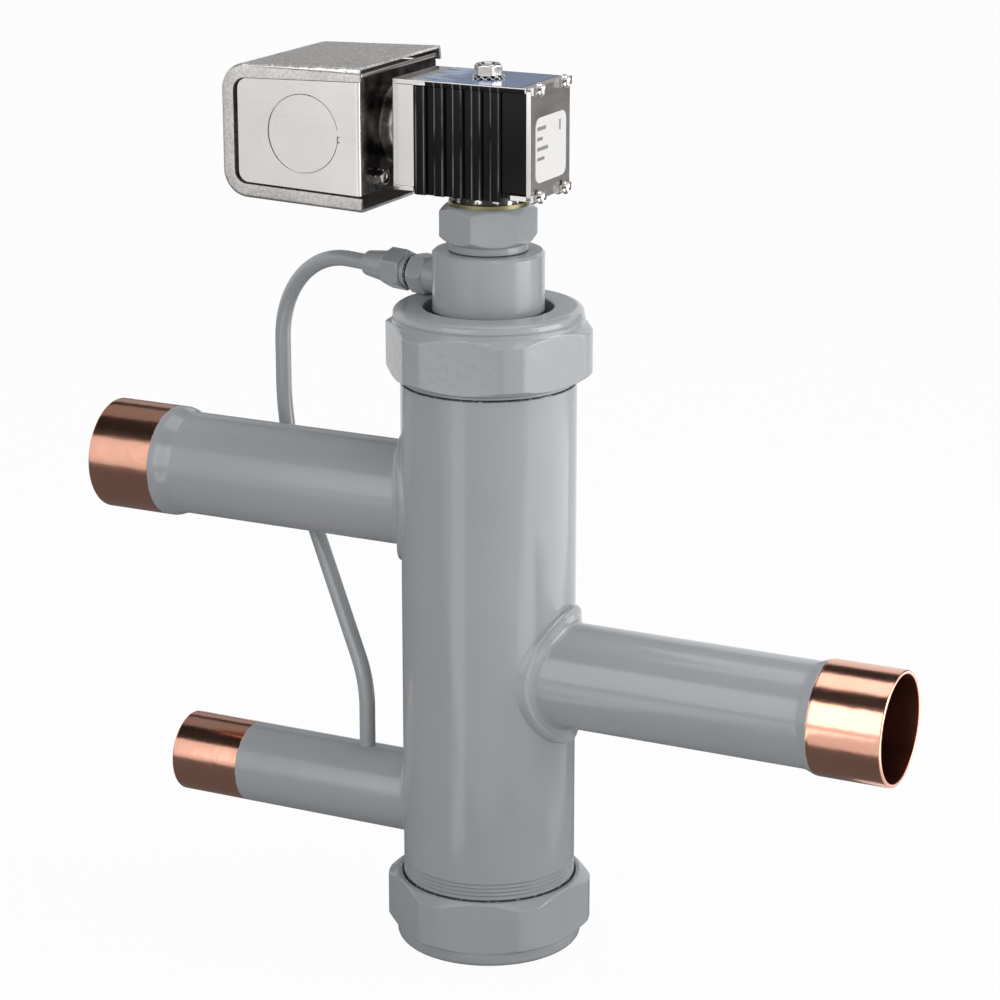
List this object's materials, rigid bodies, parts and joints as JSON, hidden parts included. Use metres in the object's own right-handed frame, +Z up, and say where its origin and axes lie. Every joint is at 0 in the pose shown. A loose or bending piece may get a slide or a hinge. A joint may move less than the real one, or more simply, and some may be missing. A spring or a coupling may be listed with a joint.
{
  "type": "hot gas defrost valve",
  "caption": "Upright three-port refrigerant valve: grey steel body between union nuts, copper solder stubs, solenoid pilot with a junction box on top and a pilot tube beside it.",
  "frame": {"origin": "centre of the flat base face under the lower union nut", "axes": "+Z up along the body's axis, +X along the common port's stub, +Y away from the viewer of the front"},
  "size_m": [0.3415, 0.0806, 0.3512],
  "materials": {
    "paint": "semi-gloss grey paint",
    "copper": "bright copper, painted grey beyond the cleaned end",
    "plated_steel": "bright zinc plating",
    "steel": "turned steel",
    "spring_steel": "drawn spring wire",
    "yellow_brass": "turned brass",
    "gasket": "pressed fibre",
    "seal_polymer": "white sealing polymer",
    "ring_polymer": "filled polymer",
    "black_moulding": "satin black moulding",
    "bobbin_polymer": "moulded polymer",
    "winding_copper": "enamelled copper wire",
    "blue_label": "glossy film",
    "white_label": "satin film"
  },
  "bodies": {
    "valve_body": {"body_tube": "paint", "upper_union_nut": "paint", "lower_union_nut": "paint", "bottom_plug": "paint", "bottom_gasket": "gasket", "bonnet_gasket": "gasket", "pilot_body": "paint", "suction_stub": "copper", "common_stub": "copper", "hot_gas_stub": "copper", "lower_seat": "yellow_brass", "upper_seat": "yellow_brass", "main_spring": "spring_steel", "pilot_seat": "yellow_brass", "plunger_spring": "spring_steel", "fixed_core": "steel", "enclosing_tube": "steel", "tube_gasket": "gasket", "tube_nut": "paint", "brass_washer": "yellow_brass", "yoke_frame": "plated_steel", "end_plate": "plated_steel", "coil_moulding": "black_moulding", "coil_bobbin": "bobbin_polymer", "coil_winding": "winding_copper", "neck_shroud": "plated_steel", "box_bush": "plated_steel", "bush_nut": "plated_steel", "box_base": "plated_steel", "box_cover": "plated_steel", "ground_screw": "plated_steel", "top_label": "blue_label", "end_label": "white_label", "star_washer": "plated_steel", "coil_screw": "plated_steel", "pilot_union": "paint", "flare_nut": "paint", "pilot_tube": "paint"},
    "spool": {"valve_stem": "steel", "lower_disc": "yellow_brass", "lower_disc_seal": "seal_polymer", "upper_disc": "yellow_brass", "upper_disc_seal": "seal_polymer", "disc_spacer": "steel", "piston_spacer": "steel", "piston": "yellow_brass", "piston_ring": "ring_polymer", "stem_nuts": "steel"},
    "plunger": {"pilot_plunger": "steel"}
  },
  "joints": [
    {"name": "spool_slide", "type": "slide", "parent": "valve_body", "child": "spool", "axis": [0, 0, -1], "range_m": [0, 0.012], "stiffness_N_per_m": 2300, "springref_m": -0.018, "deforming": ["main_spring"]},
    {"name": "plunger_slide", "type": "slide", "parent": "valve_body", "child": "plunger", "axis": [0, 0, 1], "range_m": [0, 0.0025], "stiffness_N_per_m": 2400, "springref_m": -0.0015, "deforming": ["plunger_spring"]}
  ]
}
